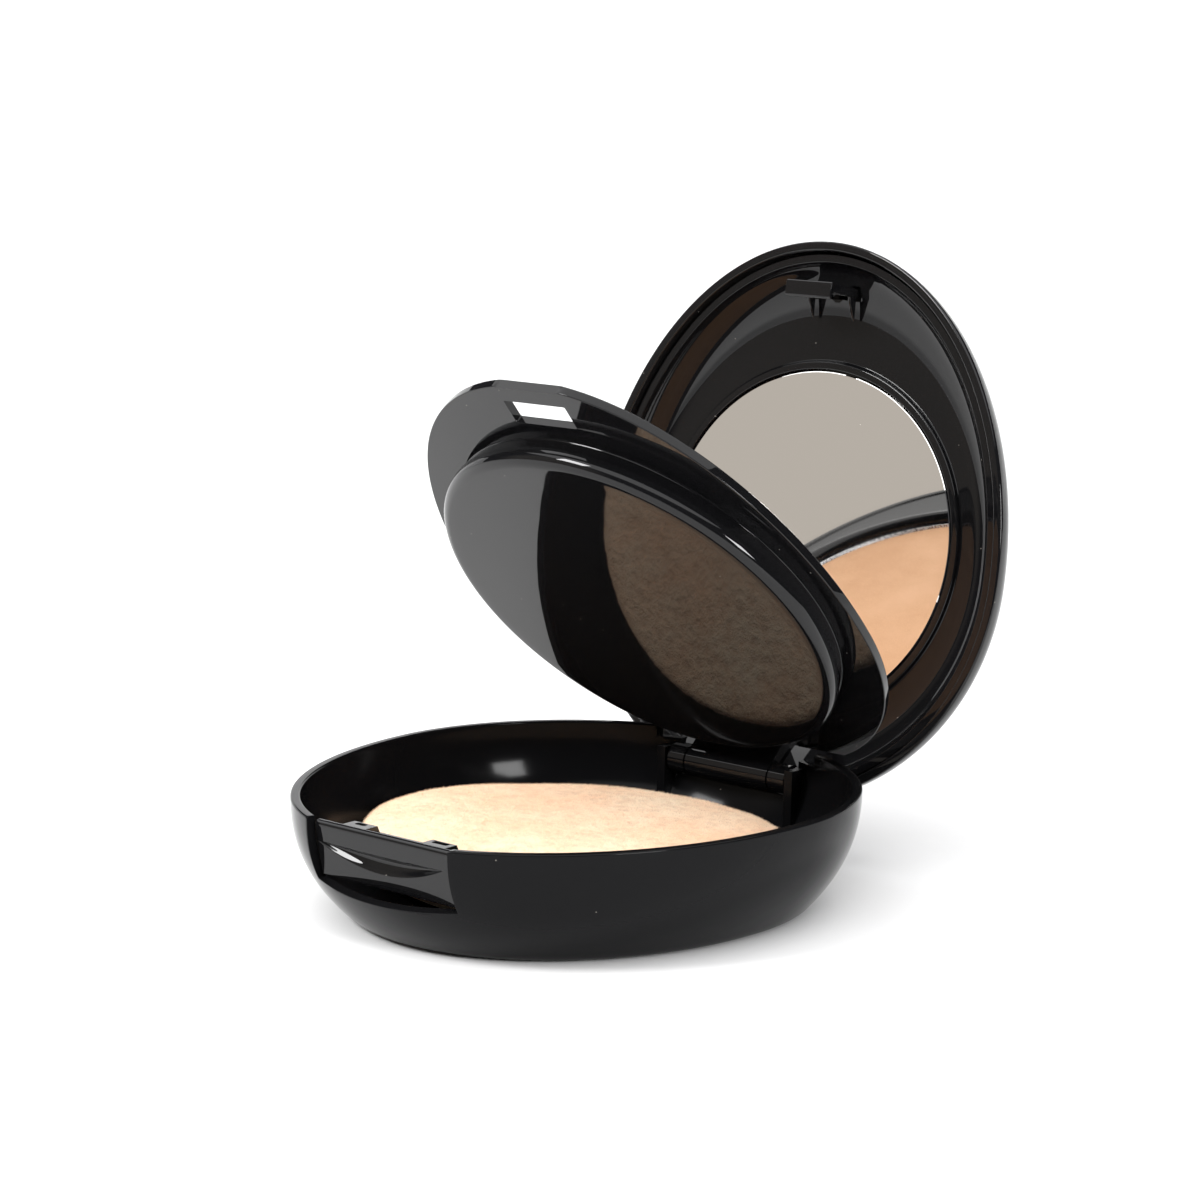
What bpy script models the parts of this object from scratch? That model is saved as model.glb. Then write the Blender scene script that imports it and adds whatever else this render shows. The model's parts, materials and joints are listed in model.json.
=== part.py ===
"""Powder compact: an egg-shaped case that opens on one hinge pin at the narrow-set back.

The base holds the puff, a hinged tray holds the powder pan, and the lid holds the mirror.
Frame: origin at the centre of the underside, +X across, -Y towards the push button, +Z up.
Sizes are in millimetres until a mesh is made. Tray and lid are drawn closed, then turned open
about the pin by the two empties, tray_axis and lid_axis.
"""

import math

import bmesh
import bpy
from mathutils import Vector

millimetre = 0.001

# Plan outline: two half ellipses that meet at the widest line
halfWidth = 37.0
frontReach = 47.3
backReach = 35.9
widestY = (frontReach - backReach) / 2
outlinePoints = 56

# Heights, from the surface it stands on
baseHeight = 16.4
partingGap = 0.3
lidHeight = 9.6
lidCrown = 0.8

# How the outer walls draw in: share of the outline lost over the height, and how late it happens
baseTaper = 0.19
basePower = 2.3
lidTaper = 0.24
lidPower = 2.4
footScale = 0.76

# Walls and clearances
wall = 1.4
floorThickness = 1.5
fitGap = 0.3
filmGap = 0.12
linerWall = 1.2

# Hinge
pinY = 37.2
pinZ = baseHeight - 4.3
pinRadius = 0.75
pinBore = 0.05
knuckleRadius = 2.2
trayKnuckleHalf = 7.4
lidKnuckleWidth = 2.9
lugWidth = 1.4
lugRise = 1.9
trayOpening = 47.7
lidOpening = 101.1

# Inner frame of the base
rebate = 0.6
frontWallY = -28.6
hingeWallY = 33.2
hingeWall = 1.0
hingeBoxHalf = 13.2
hingeWallTop = baseHeight - 1.7
shoulderTop = baseHeight - 3.0
rimNotchHalf = 14.4
frontLand = baseHeight - 2.6

# Push button and catch
buttonHalf = 12.0
buttonFaceY = -37.9
buttonThickness = 1.1
buttonLean = 1.6
buttonBottom = 8.3
buttonTravel = 1.0
recessSlant = 18.0
sliderHalf = 9.0
sliderBackY = -31.4
sliderTop = baseHeight - 0.9
sliderThickness = 1.2
sliderStepY = -33.4
sliderDrop = 1.4
springHeight = 3.0
springGap = 0.4
hookHalf = 4.05
hookFrontY = -35.3
hookThickness = 1.4
hookLip = 1.1
hookTip = baseHeight - 3.1

# Tray, closed
trayInset = 1.85
trayUnder = baseHeight - 0.3
trayThickness = 1.2
windowHalf = 5.3
windowFrontY = -36.45
windowBackY = -32.3
notchHalf = 6.0
notchDepth = 0.7
cupY = 0.9
cupClearance = 0.4
cupUnder = baseHeight - 4.8
cupTop = baseHeight - 2.2
panRadius = 29.5
neckWall = 0.6
cupWall = 1.2
neckRadius = panRadius + fitGap + neckWall
cupRadius = panRadius + fitGap + cupWall
panWall = 0.35
panDepth = 1.0
glueRadius = 11.0
cupFloor = 0.9
tailY = pinY - 3.0
armSlotY = pinY - 5.8
armRoot = 0.6

# Lid lining and mirror, closed
liningInset = 1.75
liningUnder = baseHeight + 1.4
liningLand = 1.2
liningCeiling = baseHeight + 5.6
seatY = 2.6
mirrorRadius = 25.4
mirrorUnder = baseHeight + 5.1
mirrorThickness = 1.2
mirrorPadRadius = 20.0

# Puff
puffY = 1.3
puffHalfWidth = 31.0
puffHalfLength = 29.6
puffTop = 10.2
puffCrown = 0.6
puffTilt = 0.036
puffSkin = 0.8


def clearScene():
    for item in list(bpy.data.objects):
        bpy.data.objects.remove(item, do_unlink=True)


def makeMaterial(name, colour, roughness, metallic=0.0):
    material = bpy.data.materials.new(name)
    material.use_nodes = True
    shader = material.node_tree.nodes["Principled BSDF"]
    shader.inputs["Base Color"].default_value = (*colour, 1.0)
    shader.inputs["Roughness"].default_value = roughness
    shader.inputs["Metallic"].default_value = metallic
    material.diffuse_color = (*colour, 1.0)
    return material


def makeAxis(name, opening):
    axis = bpy.data.objects.new(name, None)
    bpy.context.scene.collection.objects.link(axis)
    axis.empty_display_size = 0.01
    axis.location = (0, pinY * millimetre, pinZ * millimetre)
    axis.rotation_euler = (math.radians(-opening), 0, 0)
    return axis


def makeObject(name, bm, parent=None):
    """Turns a bmesh in closed-case millimetres into an object whose origin is its axis."""
    if parent:
        bmesh.ops.translate(bm, verts=bm.verts, vec=(0, -pinY, -pinZ))
    bmesh.ops.scale(bm, verts=bm.verts, vec=(millimetre,) * 3)
    bmesh.ops.recalc_face_normals(bm, faces=bm.faces)
    mesh = bpy.data.meshes.new(name)
    bm.to_mesh(mesh)
    bm.free()
    item = bpy.data.objects.new(name, mesh)
    bpy.context.scene.collection.objects.link(item)
    item.parent = parent
    return item


def finish(item, material, smooth=True):
    item.data.materials.append(material)
    if smooth:
        item.data.shade_smooth()
        item.data.set_sharp_from_angle(angle=math.radians(35))
    return item


def combine(item, other, operation):
    """Cuts other from item, or joins it on, and leaves other as a hidden helper."""
    other.hide_render = True
    other.display_type = "WIRE"
    modifier = item.modifiers.new(f"{operation.title()} {other.name}", "BOOLEAN")
    modifier.operation = operation
    modifier.object = other
    modifier.solver = "EXACT"
    return item


def angles():
    return [2 * math.pi * (k + 0.5) / outlinePoints for k in range(outlinePoints)]


def eggRing(z, scale=1.0, inset=0.0):
    """The plan outline at height z, shrunk by scale and then drawn in by inset."""
    ring = []
    for angle in angles():
        reach = frontReach if math.sin(angle) < 0 else backReach
        x = (halfWidth * scale - inset) * math.cos(angle)
        y = widestY + (reach * scale - inset) * math.sin(angle)
        ring.append(Vector((x, y, z)))
    return ring


def ovalRing(z, halfX, halfY, centreY):
    return [Vector((halfX * math.cos(a), centreY + halfY * math.sin(a), z)) for a in angles()]


def roundRing(z, radius, centreY):
    return ovalRing(z, radius, radius, centreY)


def loft(rings, closed=False):
    """Skins the rings in order; the ends are capped, or joined to each other when closed."""
    bm = bmesh.new()
    rows = [[bm.verts.new(point) for point in ring] for ring in rings]
    pairs = list(zip(rows, rows[1:]))
    if closed:
        pairs.append((rows[-1], rows[0]))
    for low, high in pairs:
        for k in range(len(low)):
            after = (k + 1) % len(low)
            bm.faces.new((low[k], low[after], high[after], high[k]))
    if not closed:
        bm.faces.new(rows[0][::-1])
        bm.faces.new(rows[-1])
    return bm


def prism(outline, lowX, highX):
    """A (y, z) outline pushed out between two x values."""
    bm = bmesh.new()
    ends = [[bm.verts.new((x, y, z)) for y, z in outline] for x in (lowX, highX)]
    for k in range(len(outline)):
        after = (k + 1) % len(outline)
        bm.faces.new((ends[0][k], ends[0][after], ends[1][after], ends[1][k]))
    bm.faces.new(ends[0])
    bm.faces.new(ends[1][::-1])
    return bm


def block(low, high):
    outline = [(low[1], low[2]), (high[1], low[2]), (high[1], high[2]), (low[1], high[2])]
    return prism(outline, low[0], high[0])


def rod(radius, lowX, highX, y=pinY, z=pinZ, sides=28):
    turns = [2 * math.pi * k / sides for k in range(sides)]
    outline = [(y + radius * math.cos(a), z + radius * math.sin(a)) for a in turns]
    return prism(outline, lowX, highX)


def mirrored(name, shape, lowX, highX, parent=None):
    """One helper on each side of the middle plane, from a function of two x values."""
    right = makeObject(f"{name}_right", shape(lowX, highX), parent)
    left = makeObject(f"{name}_left", shape(-highX, -lowX), parent)
    return [right, left]


def baseScale(z):
    return 1 - baseTaper * max(0, 1 - z / baseHeight) ** basePower


def lidScale(rise):
    return 1 - lidTaper * max(0, rise / lidHeight) ** lidPower


def steps(low, high, count):
    return [low + (high - low) * k / (count - 1) for k in range(count)]


# Along the pin, outwards from the middle: tray knuckle, lid knuckle, base lug
lidKnuckleLow = trayKnuckleHalf + fitGap
lidKnuckleHigh = lidKnuckleLow + lidKnuckleWidth
lugLow = lidKnuckleHigh + fitGap
lugHigh = lugLow + lugWidth
pinHalf = lugHigh - fitGap
knuckleBay = lugLow - fitGap / 2
high = baseHeight + 20


def makeBaseShell():
    outer = [eggRing(0, footScale), eggRing(0.3, baseScale(0) - 0.015)]
    outer += [eggRing(z, baseScale(z)) for z in steps(1.2, baseHeight - 0.3, 7)]
    rim = [eggRing(baseHeight, 1, 0.3), eggRing(baseHeight, 1, wall)]
    inner = [eggRing(z, baseScale(z), wall) for z in steps(baseHeight - 1, floorThickness + 1.5, 5)]
    floor = [eggRing(floorThickness, baseScale(floorThickness), wall + 1.2)]
    shell = makeObject("base_shell", loft(outer + rim + inner + floor))
    lugTop = pinZ + lugRise
    lugFront = pinY - 2.4
    lugBack = pinY + 1.4
    lug = [(lugFront, 5), (lugFront + 0.9, 5), (lugBack - 1.2, 9), (lugBack, pinZ), (lugBack, lugTop)]
    lug.append((lugFront, lugTop))
    for helper in mirrored("lug", lambda a, b: prism(lug, a, b), lugLow, lugHigh):
        combine(shell, helper, "UNION")
    slant = math.tan(math.radians(recessSlant))
    reach = 10.0
    gap = buttonBottom - fitGap
    recess = [
        (buttonFaceY + 6, gap),
        (buttonFaceY + buttonLean, gap),
        (buttonFaceY - reach, gap - (reach + buttonLean) * slant),
        (buttonFaceY - reach, high),
        (buttonFaceY + 6, high),
    ]
    half = buttonHalf + fitGap
    combine(shell, makeObject("button_recess", prism(recess, -half, half)), "DIFFERENCE")
    rimCut = block((-rimNotchHalf, hingeWallY, hingeWallTop), (rimNotchHalf, 60, high))
    combine(shell, makeObject("rim_notch", rimCut), "DIFFERENCE")
    bay = block((-knuckleBay, pinY - 2, pinZ - knuckleRadius - 0.5), (knuckleBay, 60, high))
    combine(shell, makeObject("knuckle_bay", bay), "DIFFERENCE")
    bore = rod(pinRadius + pinBore, -lugHigh + 0.3, lugHigh - 0.3 + 0.15)
    combine(shell, makeObject("pin_bore", bore), "DIFFERENCE")
    return finish(shell, makeMaterial("base_shell", (0.012, 0.012, 0.013), 0.18))


def makeBaseLiner():
    """Inner frame: a thin wall all round, a latch housing in front and a box round the hinge."""
    inset = wall + fitGap
    low = floorThickness + fitGap
    top = baseHeight - rebate
    blank = [eggRing(low, baseScale(low), inset + 1.3)]
    blank += [eggRing(z, baseScale(z), inset) for z in steps(low + 1.6, top, 5)]
    liner = makeObject("base_liner", loft(blank))
    inset += linerWall
    rings = [eggRing(z, baseScale(z), inset) for z in steps(low - 1, top + 1, 6)]
    for ring in rings:
        for point in ring:
            point.y = max(point.y, frontWallY)
    cavity = makeObject("puff_cavity", loft(rings))
    box = block((-hingeBoxHalf, hingeWallY, -5), (hingeBoxHalf, 60, high))
    combine(cavity, makeObject("hinge_box", box), "DIFFERENCE")
    combine(liner, cavity, "DIFFERENCE")
    half = hingeBoxHalf - 0.7
    bay = block((-half, hingeWallY + hingeWall, -5), (half, 60, high))
    combine(liner, makeObject("hinge_bay", bay), "DIFFERENCE")
    cut = block((-hingeBoxHalf - 2, hingeWallY - 1, hingeWallTop), (hingeBoxHalf + 2, 60, high))
    combine(liner, makeObject("hinge_top", cut), "DIFFERENCE")
    shoulder = [(hingeWallY - 1, shoulderTop), (60, shoulderTop), (60, high), (hingeWallY - 1, high)]
    cuts = mirrored("shoulder", lambda a, b: prism(shoulder, a, b), trayKnuckleHalf + 0.1, 20)
    for helper in cuts:
        combine(liner, helper, "DIFFERENCE")
    room = [roundRing(z, cupRadius + cupClearance, cupY) for z in (cupUnder - fitGap, high)]
    combine(liner, makeObject("cup_room", loft(room)), "DIFFERENCE")
    land = [eggRing(z, baseScale(z), inset) for z in (frontLand, top + 1)]
    for ring in land:
        for point in ring:
            point.y = min(point.y, 0)
    combine(liner, makeObject("front_land", loft(land)), "DIFFERENCE")
    half = buttonHalf + fitGap
    backY = buttonFaceY + buttonLean + buttonThickness + buttonTravel + fitGap
    front = block((-half, -60, buttonBottom - fitGap), (half, backY, high))
    combine(liner, makeObject("button_bay", front), "DIFFERENCE")
    half = sliderHalf + fitGap
    bay = block((-half, backY - 3, buttonBottom + 0.6), (half, frontWallY - hingeWall, high))
    combine(liner, makeObject("slider_bay", bay), "DIFFERENCE")
    return finish(liner, makeMaterial("base_liner", (0.014, 0.014, 0.015), 0.22))


def makeButton():
    """Flat panel with a finger scoop, and a slider behind it that holds the lid's hook."""
    top = trayUnder - 0.2
    backY = buttonFaceY + buttonThickness
    soften = 0.5
    panel = [
        (buttonFaceY + buttonLean, buttonBottom),
        (backY + buttonLean, buttonBottom),
        (backY, top),
        (buttonFaceY + soften, top),
        (buttonFaceY, top - soften),
    ]
    button = makeObject("latch_button", prism(panel, -buttonHalf, buttonHalf))
    under = sliderTop - sliderThickness
    slider = [(backY - 0.5, under), (backY - 0.5, sliderTop), (sliderStepY, sliderTop)]
    slider += [(sliderStepY + 0.7, sliderTop - sliderDrop), (sliderBackY, sliderTop - sliderDrop)]
    slider += [(sliderBackY, under - sliderDrop), (sliderStepY - 0.2, under - sliderDrop)]
    slider.append((sliderStepY - 0.9, under))
    combine(button, makeObject("slider", prism(slider, -sliderHalf, sliderHalf)), "UNION")
    half = hookHalf + 0.8
    hookBackY = hookFrontY + hookThickness + hookLip
    hole = block((-half, backY + 0.1, under - 3), (half, hookBackY + 0.2, high))
    combine(button, makeObject("hook_hole", hole), "DIFFERENCE")
    scoop = bmesh.new()
    bmesh.ops.create_uvsphere(scoop, u_segments=28, v_segments=14, radius=1)
    bmesh.ops.scale(scoop, verts=scoop.verts, vec=(11.2, 0.85, 1.9))
    bmesh.ops.translate(scoop, verts=scoop.verts, vec=(0, buttonFaceY + 0.9, 11.7))
    combine(button, makeObject("finger_scoop", scoop), "DIFFERENCE")
    return finish(button, makeMaterial("latch_button", (0.012, 0.012, 0.013), 0.15))


def makeButtonSpring():
    """Bowed steel strip between the latch housing's wall and the back of the button."""
    restY = frontWallY - hingeWall - 0.15
    bowY = buttonFaceY + buttonLean + buttonThickness + buttonTravel + 0.15
    strip = 0.3
    halfSpan = 8.0
    low = sliderTop - sliderThickness - sliderDrop - springGap - springHeight
    count = 13
    bm = bmesh.new()
    rows = []
    for x in steps(-halfSpan, halfSpan, count):
        share = math.cos(math.pi * x / (2 * halfSpan)) ** 1.5
        y = restY - strip + (bowY - restY + strip) * share
        corners = ((y, low), (y + strip, low), (y + strip, low + springHeight), (y, low + springHeight))
        rows.append([bm.verts.new((x, a, b)) for a, b in corners])
    for near, far in zip(rows, rows[1:]):
        for k in range(4):
            bm.faces.new((near[k], near[(k + 1) % 4], far[(k + 1) % 4], far[k]))
    bm.faces.new(rows[0])
    bm.faces.new(rows[-1][::-1])
    return finish(makeObject("button_spring", bm), makeMaterial("spring_steel", (0.6, 0.6, 0.6), 0.3, 1.0))


def makeHingePin():
    pin = makeObject("hinge_pin", rod(pinRadius, -pinHalf, pinHalf))
    return finish(pin, makeMaterial("pin_steel", (0.6, 0.6, 0.6), 0.25, 1.0))


def puffRing(z, inset):
    """One ring of the pad, whose top falls a little towards the hinge."""
    ring = ovalRing(z, puffHalfWidth - inset, puffHalfLength - inset, puffY)
    share = (z - floorThickness) / (puffTop - floorThickness)
    for point in ring:
        point.z -= puffTilt * share * (point.y - puffY)
    return ring


def makePuff():
    """Foam core between two fabric faces that meet at a seam round the edge."""
    under = floorThickness + 0.2
    seam = (under + puffTop) / 2
    crown = puffTop + puffCrown
    skin = puffSkin
    face = [puffRing(crown, 22), puffRing(puffTop + puffCrown * 0.6, 12), puffRing(puffTop, 3.4)]
    face += [puffRing(puffTop - 0.5, 1.1), puffRing(puffTop - 1.6, 0.2), puffRing(seam + filmGap, 0.7)]
    face += [puffRing(seam + filmGap, skin + 0.7), puffRing(puffTop - 1.8 - skin / 2, skin + 0.2)]
    face += [puffRing(puffTop - skin - 0.6, skin + 1.3), puffRing(puffTop - skin, 5)]
    face += [puffRing(crown - skin, 22)]
    back = [puffRing(under, 6.8), puffRing(under + 0.8, 4.4), puffRing(under + 2.2, 2.2)]
    back += [puffRing(seam - filmGap, 0.8), puffRing(seam - filmGap, skin + 0.8)]
    back += [puffRing(under + 2.4, skin + 2.3), puffRing(under + skin, 7.4)]
    inset = skin + filmGap
    core = [puffRing(under + inset, 8.6), puffRing(under + 2.6, inset + 2.4), puffRing(seam, inset + 0.8)]
    core += [puffRing(puffTop - 3, inset + 0.4), puffRing(puffTop - 1.2 - skin, inset + 1.6)]
    core += [puffRing(puffTop - inset - filmGap, 7)]
    fabric = (0.9, 0.82, 0.7)
    finish(makeObject("puff_face", loft(face)), makeMaterial("puff_face", fabric, 0.95))
    finish(makeObject("puff_back", loft(back)), makeMaterial("puff_back", fabric, 0.95))
    foam = makeMaterial("puff_core", (0.85, 0.8, 0.72), 0.95)
    finish(makeObject("puff_core", loft(core)), foam)


def makeTrayPlate(axis):
    """Thin flange with a beaded edge and a short neck under it, cut round the hinge arms."""
    top = trayUnder + trayThickness
    bead = 0.25
    outer = [eggRing(trayUnder, 1, trayInset + 0.2), eggRing(trayUnder + 0.2, 1, trayInset)]
    outer += [eggRing(top + bead - 0.2, 1, trayInset), eggRing(top + bead, 1, trayInset + 0.2)]
    land = [eggRing(top + bead, 1, trayInset + 0.9), eggRing(top, 1, trayInset + 1.2)]
    hole = panRadius + fitGap
    lip = [roundRing(top, hole + 2.2, cupY), roundRing(top + 0.4, hole + 1.7, cupY)]
    lip += [roundRing(top + 0.4, hole + 1.2, cupY), roundRing(top - 0.4, hole, cupY)]
    neckUnder = cupTop + filmGap
    neck = [roundRing(neckUnder, hole, cupY), roundRing(neckUnder, neckRadius, cupY)]
    neck += [roundRing(trayUnder, neckRadius, cupY)]
    plate = makeObject("tray_plate", loft(outer + land + lip + neck, closed=True), axis)
    window = block((-windowHalf, windowFrontY, 0), (windowHalf, windowBackY, high))
    combine(plate, makeObject("hook_window", window, axis), "DIFFERENCE")
    front = widestY - frontReach + trayInset
    notch = block((-notchHalf, front - 5, 0), (notchHalf, front + notchDepth, high))
    combine(plate, makeObject("finger_notch", notch, axis), "DIFFERENCE")
    tail = block((-50, tailY, 0), (50, 60, high))
    combine(plate, makeObject("tail_cut", tail, axis), "DIFFERENCE")
    slot = block((-lugLow, armSlotY, 0), (lugLow, 60, high))
    combine(plate, makeObject("arm_slot", slot, axis), "DIFFERENCE")
    half = trayKnuckleHalf
    root = armSlotY - armRoot
    arm = [(root, trayUnder), (pinY - 2.1, trayUnder), (pinY - 2.1, pinZ), (pinY + 2.1, pinZ)]
    arm += [(pinY + 1.6, top), (root, top)]
    combine(plate, makeObject("tray_arm", prism(arm, -half, half), axis), "UNION")
    knuckle = rod(knuckleRadius, -half, half)
    combine(plate, makeObject("tray_knuckle", knuckle, axis), "UNION")
    bore = rod(pinRadius + pinBore, -half - 1, half + 1)
    combine(plate, makeObject("tray_bore", bore, axis), "DIFFERENCE")
    return finish(plate, makeMaterial("tray_plate", (0.012, 0.012, 0.013), 0.15))


def makeTrayCup(axis):
    soft = 1.1
    floor = cupUnder + cupFloor
    hole = panRadius + fitGap
    cup = [roundRing(cupUnder, cupRadius - soft, cupY)]
    cup += [roundRing(cupUnder + soft * 0.3, cupRadius - soft * 0.3, cupY)]
    cup += [roundRing(cupUnder + soft, cupRadius, cupY), roundRing(cupTop, cupRadius, cupY)]
    cup += [roundRing(cupTop, hole, cupY), roundRing(floor, hole, cupY)]
    item = makeObject("tray_cup", loft(cup), axis)
    return finish(item, makeMaterial("tray_cup", (0.012, 0.012, 0.013), 0.12))


def makePan(axis):
    glueUnder = cupUnder + cupFloor + filmGap
    glueTop = glueUnder + 0.2
    under = glueTop + filmGap
    rim = trayUnder + trayThickness - panDepth
    glue = [roundRing(z, glueRadius, cupY) for z in (glueUnder, glueTop)]
    item = makeObject("pan_adhesive", loft(glue), axis)
    finish(item, makeMaterial("pan_adhesive", (0.75, 0.72, 0.6), 0.5))
    pan = [roundRing(under, panRadius - 0.6, cupY), roundRing(under + 0.6, panRadius, cupY)]
    pan += [roundRing(rim, panRadius, cupY), roundRing(rim, panRadius - panWall, cupY)]
    pan += [roundRing(under + 0.7, panRadius - panWall, cupY)]
    pan += [roundRing(under + panWall, panRadius - panWall - 0.4, cupY)]
    item = makeObject("powder_pan", loft(pan), axis)
    finish(item, makeMaterial("powder_pan", (0.75, 0.75, 0.77), 0.3, 1.0))
    low = under + panWall + filmGap
    inner = panRadius - panWall - filmGap
    cake = [roundRing(low, inner - 0.5, cupY), roundRing(low + 0.5, inner, cupY)]
    cake += [roundRing(rim - 0.5, inner, cupY), roundRing(rim - 0.3, inner - 0.3, cupY)]
    cake += [roundRing(rim - 0.1, inner * 0.6, cupY)]
    item = makeObject("pressed_powder", loft(cake), axis)
    finish(item, makeMaterial("pressed_powder", (0.62, 0.36, 0.19), 0.9))


def makeLidShell(axis):
    rim = baseHeight + partingGap
    top = rim + lidHeight
    outer = [eggRing(top + lidCrown, 0.12), eggRing(top + lidCrown * 0.75, 0.4)]
    outer += [eggRing(top + lidCrown * 0.25, 0.64), eggRing(top - 0.1, lidScale(lidHeight) - 0.03)]
    outer += [eggRing(rim + rise, lidScale(rise)) for rise in steps(lidHeight - 0.6, 0.3, 7)]
    edge = [eggRing(rim, 1, 0.3), eggRing(rim, 1, wall)]
    inner = [eggRing(rim + rise, lidScale(rise), wall) for rise in steps(1, lidHeight - wall - 1, 5)]
    inner += [eggRing(top - wall, lidScale(lidHeight - 1), wall + 1.5)]
    inner += [eggRing(top - wall, 0.4)]
    item = makeObject("lid_shell", loft(outer + edge + inner), axis)
    return finish(item, makeMaterial("lid_shell", (0.012, 0.012, 0.013), 0.15))


def makeLidLining(axis):
    """Concave inner frame: a land at the rim, a rising wall, a round mirror seat and the arms."""
    rim = baseHeight + partingGap
    topInner = rim + lidHeight - wall - fitGap
    seatFloor = mirrorUnder + mirrorThickness + 4 * filmGap
    seatRadius = mirrorRadius + fitGap
    lipUnder = mirrorUnder - 0.2
    back = [eggRing(topInner, 0.3), eggRing(topInner, lidScale(lidHeight - 1), liningInset + 1.8)]
    back += [eggRing(z, lidScale(z - rim), liningInset) for z in steps(topInner - 1, liningUnder, 4)]
    inset = liningInset + liningLand
    land = eggRing(liningUnder, 1, inset)
    seat = roundRing(liningUnder, mirrorRadius + 3.2, seatY)
    wallRings = [land]
    for turn in steps(18, 90, 5):
        share = 1 - math.cos(math.radians(turn))
        climb = math.sin(math.radians(turn)) * (liningCeiling - liningUnder)
        ring = [a.lerp(b, share) + Vector((0, 0, climb)) for a, b in zip(land, seat)]
        wallRings.append(ring)
    lip = [(liningCeiling, 1.4), (lipUnder, 1.0), (lipUnder, 0), (seatFloor, 0)]
    lip = [roundRing(z, seatRadius + extra, seatY) for z, extra in lip]
    lining = makeObject("lid_lining", loft(back + wallRings + lip), axis)
    half = hookHalf + fitGap
    hookBackY = hookFrontY + hookThickness
    sleeve = block((-half, hookFrontY - fitGap, 0), (half, hookBackY + fitGap, topInner - 0.9))
    combine(lining, makeObject("hook_slot", sleeve, axis), "DIFFERENCE")
    arm = [(-1.9, 1.1), (-5.2, 4.1), (-5.2, 10.6), (-2.6, 10.6), (1.3, 1.6)]
    arm = [(pinY + y, pinZ + z) for y, z in arm]
    low, far = lidKnuckleLow, lidKnuckleHigh
    bore = pinRadius + pinBore
    arms = mirrored("lid_arm", lambda a, b: prism(arm, a, b), low, far, axis)
    knuckles = mirrored("lid_knuckle", lambda a, b: rod(knuckleRadius, a, b), low, far, axis)
    for helper in arms + knuckles:
        combine(lining, helper, "UNION")
    for helper in mirrored("lid_bore", lambda a, b: rod(bore, a, b), low - 0.1, far + 0.1, axis):
        combine(lining, helper, "DIFFERENCE")
    return finish(lining, makeMaterial("lid_lining", (0.012, 0.012, 0.013), 0.18))


def makeLidCatch(axis):
    """Hook plate that hangs from the lid, with two ribs that brace it from behind."""
    root = baseHeight + 6.6
    backY = hookFrontY + hookThickness
    lipHeight = 0.8
    plate = [(hookFrontY, root), (hookFrontY, hookTip), (backY + hookLip, hookTip)]
    plate += [(backY + hookLip, hookTip + lipHeight * 0.6)]
    plate += [(backY, hookTip + lipHeight), (backY, root)]
    catch = makeObject("lid_catch", prism(plate, -hookHalf, hookHalf), axis)
    rib = [(backY - 0.3, baseHeight + 1.6), (backY + 0.4, baseHeight + 1.6)]
    rib += [(backY + 3.4, baseHeight + 4.3), (backY - 0.3, baseHeight + 3.2)]
    near, far = hookHalf - 0.8, hookHalf - 0.05
    for helper in mirrored("catch_rib", lambda a, b: prism(rib, a, b), near, far, axis):
        combine(catch, helper, "UNION")
    return finish(catch, makeMaterial("lid_catch", (0.012, 0.012, 0.013), 0.18))


def makeMirror(axis):
    top = mirrorUnder + mirrorThickness
    glass = [roundRing(mirrorUnder, mirrorRadius - 0.15, seatY)]
    glass += [roundRing(mirrorUnder + 0.15, mirrorRadius, seatY), roundRing(top, mirrorRadius, seatY)]
    item = makeObject("mirror_glass", loft(glass), axis)
    finish(item, makeMaterial("mirror_glass", (0.85, 0.86, 0.86), 0.02, 1.0))
    pad = [roundRing(top + gap, mirrorPadRadius, seatY) for gap in (filmGap, 2.5 * filmGap)]
    item = makeObject("mirror_adhesive", loft(pad), axis)
    finish(item, makeMaterial("mirror_adhesive", (0.8, 0.8, 0.78), 0.6))


clearScene()
trayAxis = makeAxis("tray_axis", trayOpening)
lidAxis = makeAxis("lid_axis", lidOpening)
makeBaseShell()
makeBaseLiner()
makeButton()
makeButtonSpring()
makeHingePin()
makePuff()
makeTrayPlate(trayAxis)
makeTrayCup(trayAxis)
makePan(trayAxis)
makeLidShell(lidAxis)
makeLidLining(lidAxis)
makeLidCatch(lidAxis)
makeMirror(lidAxis)
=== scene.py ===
import json
import math

import bmesh
import bpy
import numpy as np
from mathutils import Matrix, Vector


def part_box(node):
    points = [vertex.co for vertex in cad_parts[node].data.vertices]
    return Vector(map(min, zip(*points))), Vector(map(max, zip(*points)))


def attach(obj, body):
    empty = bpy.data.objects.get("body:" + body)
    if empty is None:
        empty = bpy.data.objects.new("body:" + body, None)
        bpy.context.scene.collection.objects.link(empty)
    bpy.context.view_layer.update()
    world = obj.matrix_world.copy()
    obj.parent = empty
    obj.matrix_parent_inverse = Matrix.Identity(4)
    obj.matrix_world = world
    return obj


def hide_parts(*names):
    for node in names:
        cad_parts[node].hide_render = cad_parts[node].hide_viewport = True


# Powder compact, open: base with puff, hinged tray with the pressed powder, lid with mirror.
# Shapes are drawn in millimetres with the case closed, then turned open about the hinge pin.

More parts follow.
